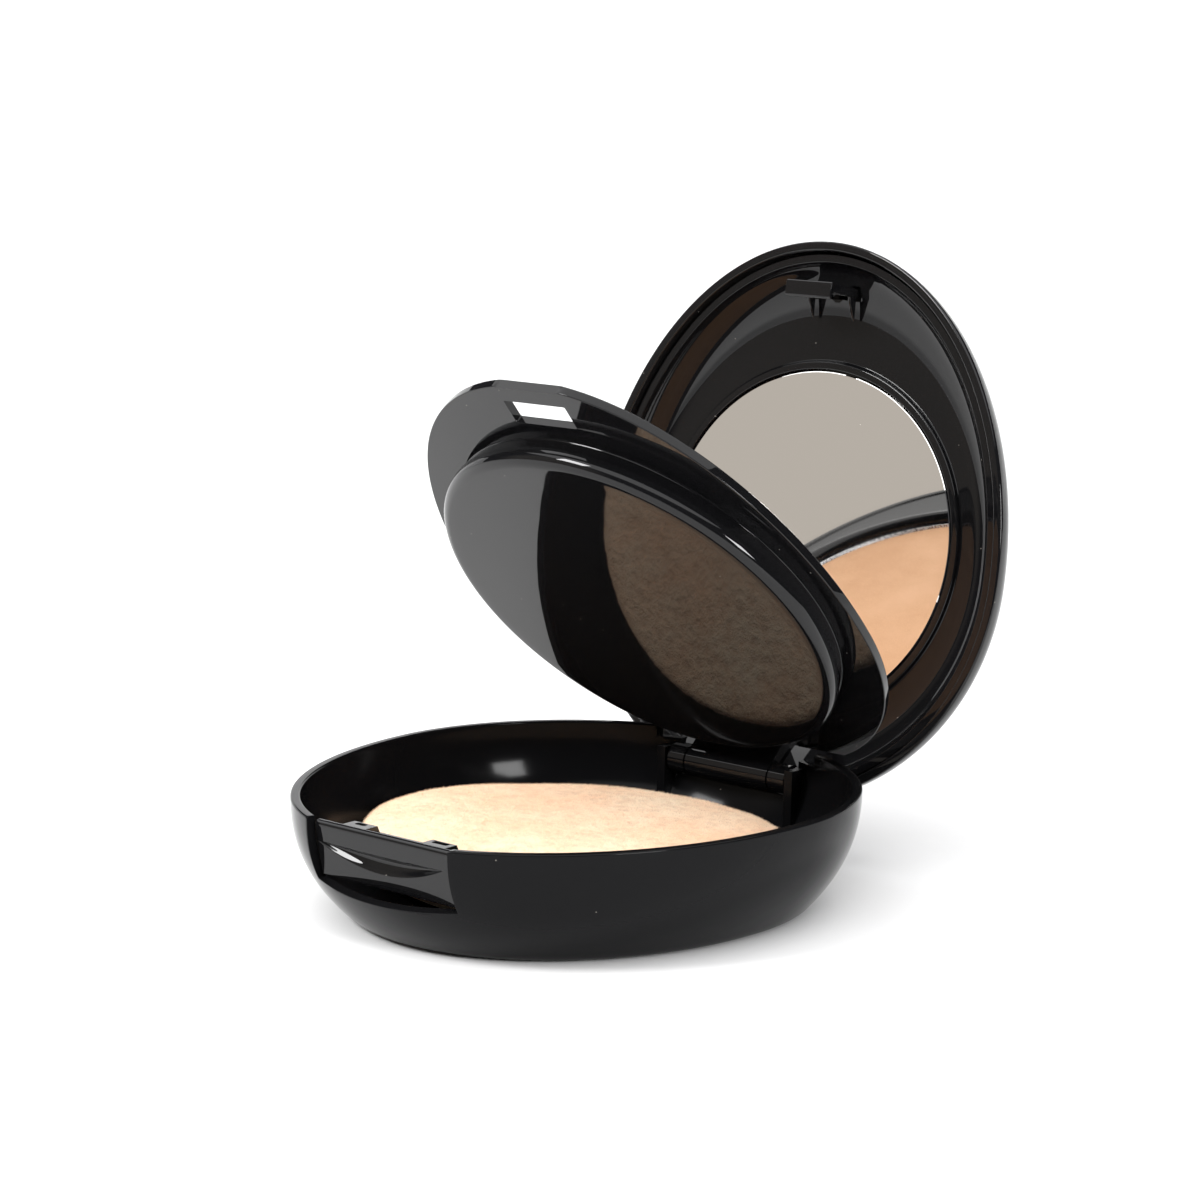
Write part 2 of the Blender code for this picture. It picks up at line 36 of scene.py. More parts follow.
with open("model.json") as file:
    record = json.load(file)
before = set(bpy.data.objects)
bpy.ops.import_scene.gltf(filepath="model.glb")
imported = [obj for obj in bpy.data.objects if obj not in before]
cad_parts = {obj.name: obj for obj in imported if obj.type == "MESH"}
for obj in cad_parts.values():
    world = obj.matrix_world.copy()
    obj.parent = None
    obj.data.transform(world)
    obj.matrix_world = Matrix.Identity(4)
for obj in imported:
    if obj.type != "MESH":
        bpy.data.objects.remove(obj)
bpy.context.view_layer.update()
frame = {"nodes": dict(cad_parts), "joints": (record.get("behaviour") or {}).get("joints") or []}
joints = {joint["name"]: joint for joint in frame["joints"]}
pinY, pinZ = (1000 * value for value in joints["tray_hinge"]["pos_m"][1:])
trayOpening = -joints["tray_hinge"]["range_deg"][0]
lidOpening = trayOpening - joints["lid_hinge"]["range_deg"][0]
rimZ = 1000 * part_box("base_shell")[1].z
print("frame loaded, rim at", round(rimZ, 2), "mm, lid open", round(lidOpening, 1))

outline = {  # the egg seen from above: two half ellipses that meet at the widest line
    "halfWidth": 37.0,
    "frontReach": 47.3,
    "backReach": 35.9,
    "segments": 256,
}
widestY = (outline["frontReach"] - outline["backReach"]) / 2
above = 40.0  # higher than anything that is cut
behind = 60.0  # further back than anything that is cut
boreRadius = 0.8


cameraSetup = {
    "target": (-0.28, 5.7, 41.11),  # mm
    "azimuth": 39.16,
    "elevation": 10.11,
    "distance": 415.58,
    "roll": 1.25,
    "lens": 90.74,
}


def makeCamera(setup):
    azimuth, elevation = math.radians(setup["azimuth"]), math.radians(setup["elevation"])
    level = math.cos(elevation)
    back = Vector((math.sin(azimuth) * level, -math.cos(azimuth) * level, math.sin(elevation)))
    data = bpy.data.cameras.new("view_camera")
    data.lens = setup["lens"]
    data.sensor_width = 36
    data.clip_start, data.clip_end = 0.01, 50
    camera = bpy.data.objects.new("view_camera", data)
    bpy.context.scene.collection.objects.link(camera)
    roll = Matrix.Rotation(math.radians(setup["roll"]), 3, "Z").to_quaternion()
    camera.rotation_mode = "QUATERNION"
    camera.rotation_quaternion = (-back).to_track_quat("-Z", "Y") @ roll
    camera.location = (Vector(setup["target"]) + back * setup["distance"]) / 1000
    bpy.context.scene.camera = camera


makeCamera(cameraSetup)


def angles(count):
    return 2 * math.pi * (np.arange(count) + 0.5) / count


def eggRing(z, scale=1.0, inset=0.0):
    turn = angles(outline["segments"])
    reach = np.where(np.sin(turn) < 0, outline["frontReach"], outline["backReach"])
    x = (outline["halfWidth"] * scale - inset) * np.cos(turn)
    y = widestY + (reach * scale - inset) * np.sin(turn)
    return np.stack([x, y, np.full_like(x, z)], axis=1)


def ovalRing(z, halfX, halfY, centreY, count=192):
    turn = angles(count)
    return np.stack([halfX * np.cos(turn), centreY + halfY * np.sin(turn), np.full(count, z)], axis=1)


def roundRing(z, radius, centreY, count=192):
    return ovalRing(z, radius, radius, centreY, count)


def roundRings(rows, centreY, count=192):
    return [roundRing(z, radius, centreY, count) for z, radius in rows]


def bend(z, inset, radius, turns, up=1):
    return [(z + up * radius * math.sin(a), inset - radius * math.cos(a)) for a in np.radians(turns)]


def eggBend(*values, **settings):
    return [eggRing(z, 1, inset) for z, inset in bend(*values, **settings)]


def skin(rings, closed=False):
    bm = bmesh.new()
    rows = [[bm.verts.new(point) for point in ring] for ring in rings]
    pairs = list(zip(rows, rows[1:]))
    if closed:
        pairs.append((rows[-1], rows[0]))
    for low, high in pairs:
        for k in range(len(low)):
            after = (k + 1) % len(low)
            bm.faces.new((low[k], low[after], high[after], high[k]))
    if not closed:
        bm.faces.new(rows[0][::-1])
        bm.faces.new(rows[-1])
    return bm


def prism(points, low, high, along="x"):
    bm = bmesh.new()
    ends = []
    for level in (low, high):
        if along == "x":
            ends.append([bm.verts.new((level, a, b)) for a, b in points])
        else:
            ends.append([bm.verts.new((a, b, level)) for a, b in points])
    for k in range(len(points)):
        after = (k + 1) % len(points)
        bm.faces.new((ends[0][k], ends[0][after], ends[1][after], ends[1][k]))
    bm.faces.new(ends[0])
    bm.faces.new(ends[1][::-1])
    return bm


def roundedBox(low, high, radius, steps=5):
    corners = [(high[0], high[1], 0), (low[0], high[1], 90), (low[0], low[1], 180), (high[0], low[1], 270)]
    points = []
    for x, y, start in corners:
        cx = x - radius * (1 if x == high[0] else -1)
        cy = y - radius * (1 if y == high[1] else -1)
        for k in range(steps + 1):
            turn = math.radians(start + 90 * k / steps)
            points.append((cx + radius * math.cos(turn), cy + radius * math.sin(turn)))
    return prism(points, low[2], high[2], along="z")


def box(low, high):
    corners = [(low[1], low[2]), (high[1], low[2]), (high[1], high[2]), (low[1], high[2])]
    return prism(corners, low[0], high[0])


def rod(radius, low, high, y=pinY, z=pinZ, sides=64):
    turns = [2 * math.pi * k / sides for k in range(sides)]
    return prism([(y + radius * math.cos(a), z + radius * math.sin(a)) for a in turns], low, high)


def pair(shape, low, high):
    return [shape(low, high), shape(-high, -low)]


def place(bm, opening):
    bmesh.ops.recalc_face_normals(bm, faces=bm.faces)
    turn = Matrix.Rotation(math.radians(-opening), 4, "X")
    centre = Matrix.Translation((0, pinY, pinZ))
    bm.transform(Matrix.Scale(0.001, 4) @ centre @ turn @ centre.inverted())


def newObject(name, mesh):
    item = bpy.data.objects.new(name, mesh)
    bpy.context.scene.collection.objects.link(item)
    return item


def makePiece(name, bm, opening=0.0):
    place(bm, opening)
    mesh = bpy.data.meshes.new(name)
    bm.to_mesh(mesh)
    bm.free()
    return newObject(name, mesh)


def settle(item):
    graph = bpy.context.evaluated_depsgraph_get()
    mesh = bpy.data.meshes.new_from_object(item.evaluated_get(graph))
    old = item.data
    item.modifiers.clear()
    item.data = mesh
    bpy.data.meshes.remove(old)
    return item


def carve(item, tools, opening=0.0, operation="DIFFERENCE"):
    helpers = []
    for number, tool in enumerate(tools):
        helper = makePiece(f"tool_{number}", tool, opening)
        helpers.append(helper)
        modifier = item.modifiers.new("cut", "BOOLEAN")
        modifier.operation, modifier.object, modifier.solver = operation, helper, "EXACT"
    settle(item)
    for helper in helpers:
        bpy.data.objects.remove(helper)
    return item


def tidyMesh(item, distance=0.004):
    bm = bmesh.new()
    bm.from_mesh(item.data)
    bmesh.ops.remove_doubles(bm, verts=bm.verts, dist=distance / 1000)
    bmesh.ops.dissolve_degenerate(bm, edges=bm.edges, dist=distance / 1000)
    bm.to_mesh(item.data)
    bm.free()


def roundEdges(item, width, angle=38, segments=2):
    tidyMesh(item)
    modifier = item.modifiers.new("edges", "BEVEL")
    modifier.width, modifier.segments = width / 1000, segments
    modifier.limit_method, modifier.angle_limit = "ANGLE", math.radians(angle)
    modifier.miter_outer = "MITER_ARC"
    return settle(item)


def smooth(item, angle=48):
    item.data.shade_smooth()
    item.data.set_sharp_from_angle(angle=math.radians(angle))
    return item


def weigh(item):
    smooth(item)
    modifier = item.modifiers.new("normals", "WEIGHTED_NORMAL")
    modifier.keep_sharp = True
    return settle(item)


def dress(item, material, body, replaces=()):
    item.data.materials.clear()
    item.data.materials.append(material)
    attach(item, body)
    if replaces:
        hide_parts(*replaces)
    return item


def newMaterial(name, **values):
    material = bpy.data.materials.new(name)
    material.use_nodes = True
    shader = material.node_tree.nodes["Principled BSDF"]
    for key, value in values.items():
        socket = shader.inputs[key.replace("_", " ")]
        socket.default_value = (*value, 1) if isinstance(value, tuple) else value
    return material, material.node_tree, shader


def addNode(tree, kind, inputs=None, **settings):
    node = tree.nodes.new("ShaderNode" + kind)
    for key, value in settings.items():
        setattr(node, key, value)
    for key, value in (inputs or {}).items():
        if isinstance(value, bpy.types.NodeSocket):
            tree.links.new(value, node.inputs[key])
        else:
            node.inputs[key].default_value = value
    return node


def objectSpace(tree):
    return addNode(tree, "TexCoord").outputs["Object"]


def noise(tree, space, scale, detail=3.0, roughness=0.5):
    inputs = {"Vector": space, "Scale": scale, "Detail": detail, "Roughness": roughness}
    return addNode(tree, "TexNoise", inputs)


def remap(tree, value, fromLow, fromHigh, toLow, toHigh):
    inputs = {"Value": value, "From Min": fromLow, "From Max": fromHigh, "To Min": toLow, "To Max": toHigh}
    return addNode(tree, "MapRange", inputs).outputs["Result"]


def blendColours(tree, share, low, high):
    node = addNode(tree, "Mix", data_type="RGBA")
    sockets = {"Factor_Float": share, "A_Color": low, "B_Color": high}
    for socket in node.inputs:
        value = sockets.get(socket.identifier)
        if isinstance(value, bpy.types.NodeSocket):
            tree.links.new(value, socket)
        elif value is not None:
            socket.default_value = (*value, 1) if isinstance(value, tuple) else value
    return next(s for s in node.outputs if s.identifier == "Result_Color")


def bump(tree, height, strength, distance, normal=None):
    inputs = {"Height": height, "Strength": strength, "Distance": distance}
    if normal:
        inputs["Normal"] = normal
    return addNode(tree, "Bump", inputs).outputs["Normal"]


def specks(tree, space, scale, size, share):
    cells = addNode(tree, "TexVoronoi", {"Vector": space, "Scale": scale, "Randomness": 1.0})
    near = addNode(tree, "Math", {0: cells.outputs["Distance"], 1: size}, operation="LESS_THAN").outputs[0]
    pick = addNode(tree, "SeparateColor", {"Color": cells.outputs["Color"]}).outputs[0]
    chosen = addNode(tree, "Math", {0: pick, 1: 1 - share}, operation="GREATER_THAN").outputs[0]
    return addNode(tree, "Math", {0: near, 1: chosen}, operation="MULTIPLY").outputs[0]


plasticFinish = {
    "colour": (0.0045, 0.0045, 0.005),
    "dust": (0.30, 0.28, 0.25),
    "glossLow": 0.012,
    "glossHigh": 0.045,
}


def blackPlastic(name, finish, satin=0.0, dustShare=0.12, specular=0.5):
    material, tree, shader = newMaterial(name, IOR=1.5, Specular_IOR_Level=specular)
    space = objectSpace(tree)
    dust = specks(tree, space, 620, 0.045, dustShare)
    shade = blendColours(tree, dust, finish["colour"], finish["dust"])
    tree.links.new(shade, shader.inputs["Base Color"])
    smudge = noise(tree, space, 55, 4, 0.6).outputs["Fac"]
    gloss = remap(tree, smudge, 0.35, 0.7, finish["glossLow"] + satin, finish["glossHigh"] + satin)
    rough = addNode(tree, "Math", {0: dust, 1: 0.5, 2: gloss}, operation="MULTIPLY_ADD").outputs[0]
    tree.links.new(rough, shader.inputs["Roughness"])
    wave = noise(tree, space, 110, 1).outputs["Fac"]
    grain = noise(tree, space, 2600, 2).outputs["Fac"]
    normal = bump(tree, wave, 0.03, 0.0004)
    normal = bump(tree, grain, 0.01 + satin * 0.3, 0.00002, normal)
    tree.links.new(normal, shader.inputs["Normal"])
    return material


def steelFinish(name, roughness):
    material, tree, shader = newMaterial(name, Metallic=1.0)
    space = objectSpace(tree)
    stretch = addNode(tree, "Mapping", {"Vector": space, "Scale": (0.1, 1, 1)}).outputs["Vector"]
    lines = noise(tree, stretch, 5200, 3).outputs["Fac"]
    shade = blendColours(tree, lines, (0.42, 0.42, 0.43), (0.62, 0.61, 0.60))
    tree.links.new(shade, shader.inputs["Base Color"])
    tree.links.new(remap(tree, lines, 0.3, 0.7, roughness, roughness + 0.15), shader.inputs["Roughness"])
    tree.links.new(bump(tree, lines, 0.2, 0.00002), shader.inputs["Normal"])
    return material


def foamFinish(name, low, high, scale):
    material, tree, shader = newMaterial(name, Roughness=0.95)
    cells = addNode(tree, "TexVoronoi", {"Vector": objectSpace(tree), "Scale": scale}).outputs["Distance"]
    tree.links.new(blendColours(tree, cells, low, high), shader.inputs["Base Color"])
    tree.links.new(bump(tree, cells, 0.5, 0.0002), shader.inputs["Normal"])
    return material


caseBlack = blackPlastic("case_black_gloss", plasticFinish, specular=0.3)
shellBlack = blackPlastic("case_black_satin", plasticFinish, satin=0.09, dustShare=0.03, specular=0.09)
linerBlack = blackPlastic("liner_black", plasticFinish, satin=0.01, dustShare=0.25, specular=0.38)
bracketSteel = steelFinish("bright_steel", 0.22)
print("case materials ready")


shellForm = {
    "height": 16.4,
    "taper": 0.19,
    "power": 2.3,
    "footScale": 0.76,
    "wall": 1.4,
    "floor": 1.5,
    "rimRound": 0.28,
    "notchHalf": 14.4,
    "notchY": 33.2,
    "notchTop": 14.7,
    "recessHalf": 12.3,
    "recessFaceY": -37.9,
    "recessLow": 8.0,
    "panelLean": 1.6,
    "ledgeSlope": 18,
    "lugLow": 10.9,
    "lugHigh": 12.3,
    "bay": 10.75,
}


def baseScale(z):
    return 1 - shellForm["taper"] * max(0, 1 - z / shellForm["height"]) ** shellForm["power"]


def makeBaseShell(form):
    height, wall, radius = form["height"], form["wall"], form["rimRound"]
    foot = form["footScale"]
    rings = [eggRing(0.25, 0.30), eggRing(0.25, foot - 0.05), eggRing(0.12, foot - 0.035)]
    rings += [eggRing(0, foot - 0.02), eggRing(0, foot)]
    for z, share in ((0.05, 0.4), (0.14, 0.7), (0.3, 0.88), (0.5, 0.95)):
        rings.append(eggRing(z, foot + (baseScale(z) - foot) * share))
    rings += [eggRing(z, baseScale(z)) for z in np.linspace(0.8, height - radius, 26)]
    rings += eggBend(height - radius, radius, radius, (22, 45, 68, 90))
    rings += eggBend(height - radius, wall - radius, radius, (90, 120, 150, 180))
    rings += [eggRing(z, baseScale(z), wall) for z in np.linspace(height - 1, form["floor"] + 1.5, 12)]
    rings += [eggRing(form["floor"], baseScale(form["floor"]), wall + 1.2)]
    item = makePiece("base_shell_body", skin(rings))
    top = pinZ + 1.9
    front, back = pinY - 2.4, pinY + 1.4
    lug = [(front, 5), (front + 0.9, 5), (back - 1.2, 9), (back, pinZ), (back, top - 0.8)]
    lug += [(back - 0.8, top), (front, top)]
    lugs = pair(lambda a, b: prism(lug, a, b), form["lugLow"], form["lugHigh"])
    carve(item, lugs, operation="UNION")
    slant = math.tan(math.radians(form["ledgeSlope"]))
    face, gap, reach, lean = form["recessFaceY"], form["recessLow"], 10.0, form["panelLean"]
    recess = [(face + 6, gap), (face + lean, gap), (face - reach, gap - (reach + lean) * slant)]
    recess += [(face - reach, above), (face + 6, above)]
    tools = [prism(recess, -form["recessHalf"], form["recessHalf"])]
    half, low = form["notchHalf"], form["notchTop"]
    tools.append(roundedBox((-half, form["notchY"], low), (half, behind, above), 0.6))
    tools.append(box((-form["bay"], pinY - 2, pinZ - 2.7), (form["bay"], behind, above)))
    tools.append(rod(boreRadius, -form["lugHigh"] + 0.3, form["lugHigh"] - 0.15))
    carve(item, tools)
    roundEdges(item, 0.14)
    weigh(item)
    return dress(item, shellBlack, "base", ["base_shell"])


makeBaseShell(shellForm)
print("base shell ready")


linerForm = {
    "rebate": 0.6,
    "inset": 1.7,
    "wall": 1.2,
    "low": 1.8,
    "frontWallY": -28.6,
    "cornerBlend": 0.38,
    "chamfer": 0.75,
    "frontLand": 13.8,
    "buttonRoom": 2.4,  # panel thickness, travel and gap
    "sliderRoom": 9.3,
    "hingeBoxHalf": 13.2,
    "hingeWallY": 33.2,
    "shoulderTop": 13.4,
    "centreHalf": 7.5,
    "cupRoom": 31.4,
    "cupRoomY": 0.9,
    "cupRoomLow": 11.3,
    "edge": 0.16,
}


def makeBaseLiner(form, shell):
    top = shell["height"] - form["rebate"]
    inset, low = form["inset"], form["low"]
    rings = [eggRing(low, baseScale(low), inset + 1.3)]
    rings += [eggRing(z, baseScale(z), inset) for z in np.linspace(low + 1.6, top, 14)]
    item = makePiece("base_liner_frame", skin(rings))
    inner, landRings = [], []
    levels = list(np.linspace(low - 1, top - 0.8, 14)) + [top + rise for rise in (-0.6, -0.4, -0.2, -0.05, 1)]
    for z in levels:
        flare = form["chamfer"] * max(0, min(1, (z - top + 0.7) / 0.7)) ** 1.5
        ring = eggRing(z, baseScale(z), inset + form["wall"] - flare)
        if z > form["frontLand"]:
            landRings.append(np.minimum(ring, (1000, 0, 1000)))
        gap = ring[:, 1] - form["frontWallY"]
        ring[:, 1] = form["frontWallY"] + (gap + np.sqrt(gap * gap + form["cornerBlend"] ** 2)) / 2
        inner.append(ring)
    landRings[0][:, 2] = form["frontLand"]
    cavity = makePiece("cavity", skin(inner))
    half = form["hingeBoxHalf"]
    wallY = form["hingeWallY"]
    carve(cavity, [roundedBox((-half, wallY, -5), (half, behind, above), 0.45)])
    modifier = item.modifiers.new("cut", "BOOLEAN")
    modifier.operation, modifier.object, modifier.solver = "DIFFERENCE", cavity, "EXACT"
    settle(item)
    bpy.data.objects.remove(cavity)
    tools = [box((-half + 0.7, wallY + 1, -5), (half - 0.7, behind, above))]
    tools.append(box((-half - 2, wallY - 1, shell["notchTop"]), (half + 2, behind, above)))
    shoulder = form["shoulderTop"]
    tools += pair(lambda a, b: box((a, wallY - 1, shoulder), (b, behind, above)), form["centreHalf"], 20)
    tools.append(skin([roundRing(z, form["cupRoom"], form["cupRoomY"]) for z in (form["cupRoomLow"], above)]))
    tools.append(skin(landRings))
    half = shell["recessHalf"]
    backY = shell["recessFaceY"] + shell["panelLean"] + form["buttonRoom"]
    tools.append(box((-half, -behind, shell["recessLow"]), (half, backY, above)))
    half = form["sliderRoom"]
    tools.append(box((-half, backY - 3, 8.9), (half, form["frontWallY"] - 1, above)))
    carve(item, tools)
    roundEdges(item, form["edge"])
    weigh(item)
    return dress(item, linerBlack, "base", ["base_liner"])


makeBaseLiner(linerForm, shellForm)
print("base liner ready")


buttonForm = {
    "half": 12.0,
    "faceY": -37.9,
    "thickness": 1.1,
    "lean": 1.6,
    "low": 8.3,
    "high": 15.9,
    "sideRound": 0.18,
    "topRound": 0.75,
    "scoopX": -0.8,
    "scoopHalf": 11.0,
    "scoopLine": 13.1,
    "scoopRise": -0.15,
    "scoopDrop": 2.75,
    "scoopDepth": 0.95,
    "columns": 260,
    "rows": 110,
}


def makeButtonPanel(form):
    half, low, high = form["half"], form["low"], form["high"]
    side, cap = form["sideRound"], form["topRound"]
    rounding = 1 - np.cos(np.linspace(0, np.pi / 2, 6))
    capping = 1 - np.cos(np.linspace(0, np.pi / 2, 14))
    x = np.linspace(-half, half, form["columns"])
    x = np.unique(np.concatenate([x, -half + side * rounding, half - side * rounding]))
    z = np.linspace(low, high, form["rows"])
    z = np.unique(np.concatenate([z, low + side * rounding, high - cap * capping]))
    gridX, gridZ = np.meshgrid(x, z)
    leaning = form["faceY"] + form["lean"] * (high - gridZ) / (high - low)
    reach = np.clip(1 - ((gridX - form["scoopX"]) / form["scoopHalf"]) ** 2, 0, 1)
    upper = form["scoopLine"] + form["scoopRise"] * reach
    lower = form["scoopLine"] - form["scoopDrop"] * reach
    share = np.clip((gridZ - lower) / np.maximum(upper - lower, 1e-6), 0, 1)
    steep = share ** 1.7  # deepest towards the upper edge
    hollow = form["scoopDepth"] * reach ** 0.6 * (4 * steep * (1 - steep)) ** 0.8
    y = leaning + np.where(reach > 0, hollow, 0)
    for distance, radius in ((half - np.abs(gridX), side), (gridZ - low, side), (high - gridZ, cap)):
        inside = np.clip(radius - distance, 0, radius)
        y = y + radius - np.sqrt(np.maximum(radius * radius - inside * inside, 0))
    back = leaning + form["thickness"]
    back = np.maximum(back, y + 0.12)
    bm = bmesh.new()
    grids = []
    for depth in (y, back):
        sheet = np.stack([gridX, depth, gridZ], axis=2)
        grids.append([[bm.verts.new(point) for point in row] for row in sheet])
    front, rear = grids
    for grid in grids:
        for r in range(len(z) - 1):
            for c in range(len(x) - 1):
                bm.faces.new((grid[r][c], grid[r][c + 1], grid[r + 1][c + 1], grid[r + 1][c]))
    edge = [(0, c) for c in range(len(x))] + [(r, len(x) - 1) for r in range(1, len(z))]
    edge += [(len(z) - 1, c) for c in range(len(x) - 2, -1, -1)] + [(r, 0) for r in range(len(z) - 2, 0, -1)]
    for k, (r, c) in enumerate(edge):
        r2, c2 = edge[(k + 1) % len(edge)]
        bm.faces.new((front[r][c], front[r2][c2], rear[r2][c2], rear[r][c]))
    item = makePiece("button_panel", bm)
    smooth(item, 40)
    return dress(item, caseBlack, "button", ["latch_button"])


def makeButtonSlider(form):
    back = form["faceY"] + form["thickness"]
    profile = [(back + 0.02, 14.3), (back + 0.02, 15.5), (-33.4, 15.5), (-32.7, 14.1), (-31.4, 14.1)]
    profile += [(-31.4, 12.9), (-33.6, 12.9), (-34.3, 14.3)]
    item = makePiece("button_slider", prism(profile, -9.0, 9.0))
    slots = [roundedBox((-4.85, back + 0.5, 10), (4.85, -32.6, 17), 0.3)]
    slots += [roundedBox((a, -34.6, 15.1), (b, -33.7, 17), 0.3) for a, b in ((-8.0, -6.2), (5.6, 8.2))]
    carve(item, slots)
    roundEdges(item, 0.12)
    weigh(item)
    return dress(item, linerBlack, "button", ["latch_button"])


makeButtonPanel(buttonForm)
makeButtonSlider(buttonForm)
print("push button ready")


trayForm = {
    "under": 16.1,
    "thickness": 1.2,
    "inset": 1.85,
    "bead": 0.25,
    "cupY": 0.9,
    "neckRadius": 30.4,
    "hole": 29.8,
    "neckUnder": 14.32,
    "cupRadius": 31.0,
    "cupUnder": 11.6,
    "cupTop": 14.2,
    "cupRound": 1.7,
    "windowHalf": 5.3,
    "windowFront": -36.45,
    "windowBack": -32.3,
    "notchHalf": 6.0,
    "notchDepth": 0.7,
    "tailY": 34.2,
    "armSlotY": 31.4,
    "armSlotHalf": 10.9,
    "armHalf": 7.4,
    "armRoot": 0.6,
    "knuckle": 2.2,
}


def makeTrayPlate(form):
    under, inset, hole, cy = form["under"], form["inset"], form["hole"], form["cupY"]
    top, bead = under + form["thickness"], form["bead"]
    rings = eggBend(under + 0.16, inset + 0.16, 0.16, (90, 60, 30, 0), up=-1)
    rings += eggBend(top + bead - 0.3, inset + 0.3, 0.3, (0, 25, 50, 75, 90))
    for share, extra in ((1, 0.8), (0.8, 0.95), (0.2, 1.1), (0, 1.3)):
        rings.append(eggRing(top + bead * share, 1, inset + extra))
    neck, neckUnder = form["neckRadius"], form["neckUnder"]
    rows = [(top, hole + 2.4), (top + 0.1, hole + 2.1), (top + 0.3, hole + 1.8), (top + 0.4, hole + 1.5)]
    rows += [(top + 0.4, hole + 1.2), (top + 0.2, hole + 0.5), (top - 0.4, hole), (neckUnder, hole)]
    rows += [(neckUnder, neck - 0.1), (neckUnder + 0.1, neck), (under - 0.25, neck)]
    rows += [(under - 0.07, neck + 0.07), (under, neck + 0.25)]
    rings += roundRings(rows, cy, outline["segments"])
    item = makePiece("tray_flange", skin(rings, closed=True), trayOpening)
    front = widestY - outline["frontReach"] + inset
    half = form["windowHalf"]
    tools = [roundedBox((-half, form["windowFront"], 0), (half, form["windowBack"], above), 0.25)]
    half, depth = form["notchHalf"], form["notchDepth"]
    right = [(half + 0.8, front - 3), (half + 0.35, front + depth * 0.3)]
    right += [(half - 0.2, front + depth * 0.85), (half - 0.8, front + depth)]
    left = [(-x, y) for x, y in reversed(right)]
    tools.append(prism(left[-1:] + right + left[:-1], 0, above, along="z"))
    tools.append(box((-50, form["tailY"], 0), (50, behind, above)))
    half, slot = form["armSlotHalf"], form["armSlotY"]
    tools.append(roundedBox((-half, slot, 0), (half, behind, above), 0.5))
    carve(item, tools, trayOpening)
    half, root = form["armHalf"], slot - form["armRoot"]
    arm = [(root, under), (pinY - 2.1, under), (pinY - 2.1, pinZ), (pinY + 2.1, pinZ)]
    arm += [(pinY + 2.0, top - 2), (pinY + 1.6, top - 0.8), (pinY + 0.8, top), (root, top)]
    carve(item, [prism(arm, -half, half), rod(form["knuckle"], -half, half)], trayOpening, "UNION")
    carve(item, [rod(boreRadius, -half - 1, half + 1)], trayOpening)
    roundEdges(item, 0.13)
    weigh(item)
    return dress(item, caseBlack, "tray", ["tray_plate"])


def makeTrayCup(form):
    low, top, soft, hole = form["cupUnder"], form["cupTop"], form["cupRound"], form["hole"]
    radius = form["cupRadius"]
    rows = [(low + 0.05 * (r / 29) ** 2, r) for r in (2, 8, 14, 20, 25, 28)]
    for a in np.radians(np.linspace(90, 0, 12)):
        rows.append((low + soft - (soft - 0.05) * math.sin(a), radius - soft + soft * math.cos(a)))
    rows += [(top - 0.2, radius), (top - 0.06, radius - 0.06), (top, radius - 0.2)]
    rows += [(top, hole), (low + 0.9, hole), (low + 0.9, 5)]
    item = makePiece("tray_tub", skin(roundRings(rows, form["cupY"])), trayOpening)
    smooth(item, 40)
    return dress(item, caseBlack, "tray", ["tray_cup"])


makeTrayPlate(trayForm)
makeTrayCup(trayForm)
print("tray ready")


lidForm = {
    "height": 9.6,
    "crown": 0.8,
    "taper": 0.24,
    "power": 2.4,
    "gap": 0.3,
    "wall": 1.4,
    "rimRound": 0.28,
    "inset": 1.75,
    "land": 1.2,
    "under": 17.8,
    "ceiling": 22.0,
    "seatY": 2.6,
    "mirrorRadius": 25.4,
    "mirrorUnder": 21.5,
    "mirrorThickness": 1.2,
    "hookHalf": 4.05,
    "hookFront": -35.3,
    "hookThickness": 1.4,
    "hookLip": 1.1,
    "hookTip": 13.3,
    "knuckle": 2.2,
    "armLow": 7.7,
    "armHigh": 10.6,
}
lidRim = shellForm["height"] + lidForm["gap"]


def lidScale(rise):
    return 1 - lidForm["taper"] * max(0, rise / lidForm["height"]) ** lidForm["power"]


def makeLidShell(form):
    top, wall, radius = lidRim + form["height"], form["wall"], form["rimRound"]
    crown = form["crown"]
    shoulder = lidScale(form["height"]) - 0.03
    shares = (0.02, 0.12, 0.24, 0.36, 0.48, 0.57, 0.64, 0.69, 0.715)
    rings = [eggRing(top + crown * (1 - (share / shoulder) ** 2.6), share) for share in shares]
    rings += [eggRing(top - 0.1, shoulder)]
    height = form["height"]
    rings += [eggRing(lidRim + rise, lidScale(rise)) for rise in np.linspace(height - 0.35, radius, 26)]
    rings += eggBend(lidRim + radius, radius, radius, (22, 45, 68, 90), up=-1)
    rings += eggBend(lidRim + radius, wall - radius, radius, (90, 120, 150, 180), up=-1)
    rings += [eggRing(lidRim + rise, lidScale(rise), wall) for rise in np.linspace(1, height - wall - 1, 10)]
    rings += [eggRing(top - wall, lidScale(form["height"] - 1), wall + 1.5), eggRing(top - wall, 0.4)]
    item = makePiece("lid_dome", skin(rings), lidOpening)
    smooth(item, 50)
    return dress(item, caseBlack, "lid", ["lid_shell"])


